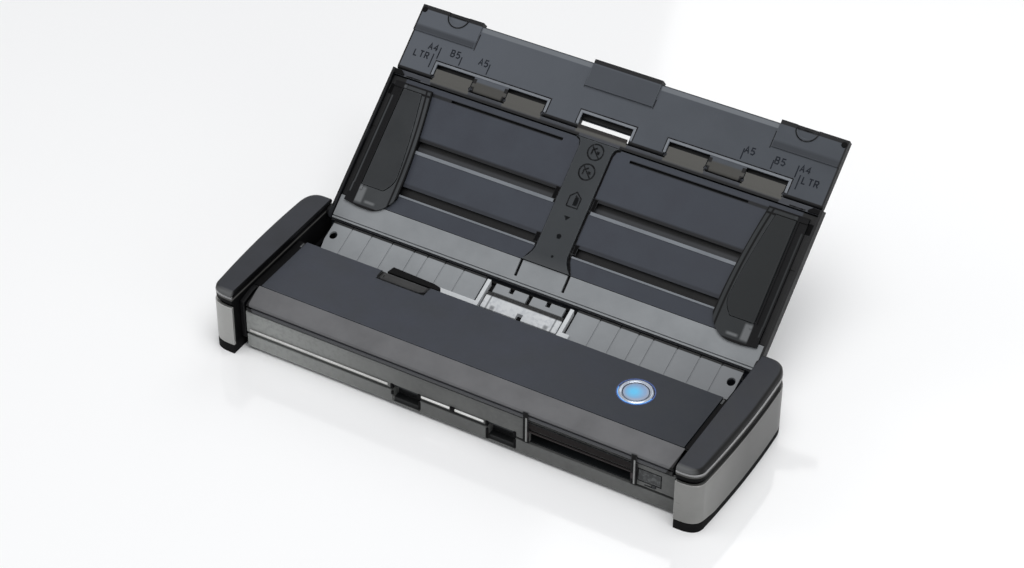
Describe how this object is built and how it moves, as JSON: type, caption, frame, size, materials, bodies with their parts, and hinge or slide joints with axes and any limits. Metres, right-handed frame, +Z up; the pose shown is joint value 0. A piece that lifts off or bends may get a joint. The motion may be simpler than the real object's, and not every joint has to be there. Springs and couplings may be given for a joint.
{
  "type": "portable document scanner",
  "caption": "Low portable sheet-fed scanner with a fold-up paper tray, flip-out extension, tilting front cover, sliding paper guides and a card slot.",
  "frame": {"origin": "on the desk, under the middle of the scanner as it stands open", "axes": "+X along the body to the button side, +Y to the rear where the tray leans back, +Z up"},
  "size_m": [0.2866, 0.1906, 0.112],
  "materials": {
    "slate_plastic": "dark blue-grey moulded plastic with a fine grain",
    "dark_plastic": "near-black moulded plastic",
    "black_plastic": "black moulded plastic",
    "grey_plastic": "light grey moulded plastic",
    "bevel_grey": "satin mid-grey plastic",
    "satin_metal": "satin metallic grey side panel",
    "bright_trim": "bright silver trim",
    "rubber": "matte black rubber",
    "white_plastic": "white plastic",
    "glass": "clear scanning glass",
    "circuit": "green circuit board",
    "steel": "steel can",
    "blue_light": "translucent blue lit plastic"
  },
  "bodies": {
    "base": {"right_foot": "rubber", "left_foot": "rubber", "right_end_cap": "black_plastic", "left_end_cap": "black_plastic", "right_side_panel": "satin_metal", "left_side_panel": "satin_metal", "right_trim": "bright_trim", "left_trim": "bright_trim", "right_cap_top": "slate_plastic", "left_cap_top": "slate_plastic", "bottom_cover": "black_plastic", "front_fascia": "bevel_grey", "lower_guide": "dark_plastic", "lower_sensor": "dark_plastic", "lower_glass": "glass", "feed_belt": "black_plastic", "exit_belt": "black_plastic", "motor": "steel", "main_board": "circuit", "usb_socket": "bright_trim", "power_jack": "black_plastic", "rear_panel": "slate_plastic", "feed_bed": "grey_plastic", "feed_module": "black_plastic", "right_feed_pad": "grey_plastic", "left_feed_pad": "grey_plastic", "separation_flap": "white_plastic", "left_feed_arm": "white_plastic", "right_feed_arm": "white_plastic"},
    "feed_roller": {"feed_roller": "rubber"},
    "exit_roller": {"exit_roller": "rubber"},
    "motor_rotor": {"motor_pulley": "steel"},
    "auto_start_switch": {"auto_start_switch": "dark_plastic"},
    "front_cover": {"top_cover": "slate_plastic", "front_bevel": "bevel_grey", "front_wall": "bevel_grey", "card_slot": "black_plastic", "exit_lip_left": "bright_trim", "exit_lip_centre": "bright_trim", "power_lamp": "dark_plastic", "upper_guide": "dark_plastic", "upper_sensor": "dark_plastic", "upper_glass": "glass", "button_ring": "bright_trim"},
    "start_button": {"start_button": "blue_light"},
    "open_lever": {"open_lever": "dark_plastic"},
    "retard_roller": {"retard_roller": "rubber"},
    "exit_pinch_roller": {"exit_pinch_roller": "rubber"},
    "tray": {"tray_shell": "slate_plastic", "tray_strip": "grey_plastic", "right_tray_panel": "slate_plastic", "left_tray_panel": "slate_plastic", "tray_bridge": "slate_plastic"},
    "extension": {"extension": "slate_plastic"},
    "guide_pinion": {"guide_pinion": "white_plastic"},
    "right_carriage": {"right_guide_carriage": "dark_plastic"},
    "left_carriage": {"left_guide_carriage": "dark_plastic"},
    "right_guide": {"right_guide_plate": "dark_plastic"},
    "left_guide": {"left_guide_plate": "dark_plastic"}
  },
  "joints": [
    {"name": "tray_hinge", "type": "hinge", "parent": "base", "child": "tray", "pos_m": [0, -0.00455, 0.0343], "axis": [1, 0, 0], "range_deg": [0, 141]},
    {"name": "extension_hinge", "type": "hinge", "parent": "tray", "child": "extension", "pos_m": [0, 0.06605, 0.08696], "axis": [1, 0, 0], "range_deg": [0, 90]},
    {"name": "front_cover_hinge", "type": "hinge", "parent": "base", "child": "front_cover", "pos_m": [0, -0.08635, 0.0086], "axis": [-1, 0, 0], "range_deg": [-75, 0]},
    {"name": "right_guide_slide", "type": "slide", "parent": "tray", "child": "right_carriage", "axis": [1, 0, 0], "range_m": [-0.08, 0]},
    {"name": "left_guide_slide", "type": "slide", "parent": "tray", "child": "left_carriage", "axis": [-1, 0, 0], "range_m": [-0.08, 0]},
    {"name": "guide_pinion_spin", "type": "hinge", "parent": "tray", "child": "guide_pinion", "pos_m": [0, 0.03566, 0.06171], "axis": [0, -0.6293, 0.7771], "range_deg": [-920, 5]},
    {"name": "right_guide_flip", "type": "hinge", "parent": "right_carriage", "child": "right_guide", "pos_m": [0.1154, 0.03025, 0.06125], "axis": [0, -0.7771, -0.6293], "range_deg": [-90, 0]},
    {"name": "left_guide_flip", "type": "hinge", "parent": "left_carriage", "child": "left_guide", "pos_m": [-0.1154, 0.03025, 0.06125], "axis": [0, 0.7771, 0.6293], "range_deg": [-90, 0]},
    {"name": "start_button_press", "type": "slide", "parent": "front_cover", "child": "start_button", "axis": [0, 0, 1], "range_m": [-0.0008, 0], "stiffness_N_per_m": 1000},
    {"name": "open_lever_lift", "type": "hinge", "parent": "front_cover", "child": "open_lever", "pos_m": [-0.0605, -0.03915, 0.0327], "axis": [-1, 0, 0], "range_deg": [-20, 0], "stiffness_Nm_per_rad": 0.05},
    {"name": "auto_start_slide", "type": "slide", "parent": "base", "child": "auto_start_switch", "axis": [1, 0, 0], "range_m": [-0.004, 0]},
    {"name": "feed_roller_spin", "type": "hinge", "parent": "base", "child": "feed_roller", "pos_m": [0, -0.04053, 0.01162], "axis": [1, 0, 0], "continuous": true},
    {"name": "exit_roller_spin", "type": "hinge", "parent": "base", "child": "exit_roller", "pos_m": [0, -0.07654, 0.00708], "axis": [1, 0, 0], "continuous": true},
    {"name": "motor_spin", "type": "hinge", "parent": "base", "child": "motor_rotor", "pos_m": [0.1, -0.01982, 0.014], "axis": [1, 0, 0], "continuous": true},
    {"name": "retard_roller_spin", "type": "hinge", "parent": "front_cover", "child": "retard_roller", "pos_m": [0, -0.04488, 0.02191], "axis": [1, 0, 0], "continuous": true},
    {"name": "exit_pinch_spin", "type": "hinge", "parent": "front_cover", "child": "exit_pinch_roller", "pos_m": [0, -0.07654, 0.01388], "axis": [1, 0, 0], "continuous": true}
  ],
  "couplings": [
    {"joint": "left_guide_slide", "follows": "right_guide_slide", "ratio": 1},
    {"joint": "guide_pinion_spin", "follows": "right_guide_slide", "rad_per_m": 200},
    {"joint": "exit_roller_spin", "follows": "feed_roller_spin", "ratio": 2},
    {"joint": "motor_spin", "follows": "feed_roller_spin", "ratio": 0.95}
  ]
}
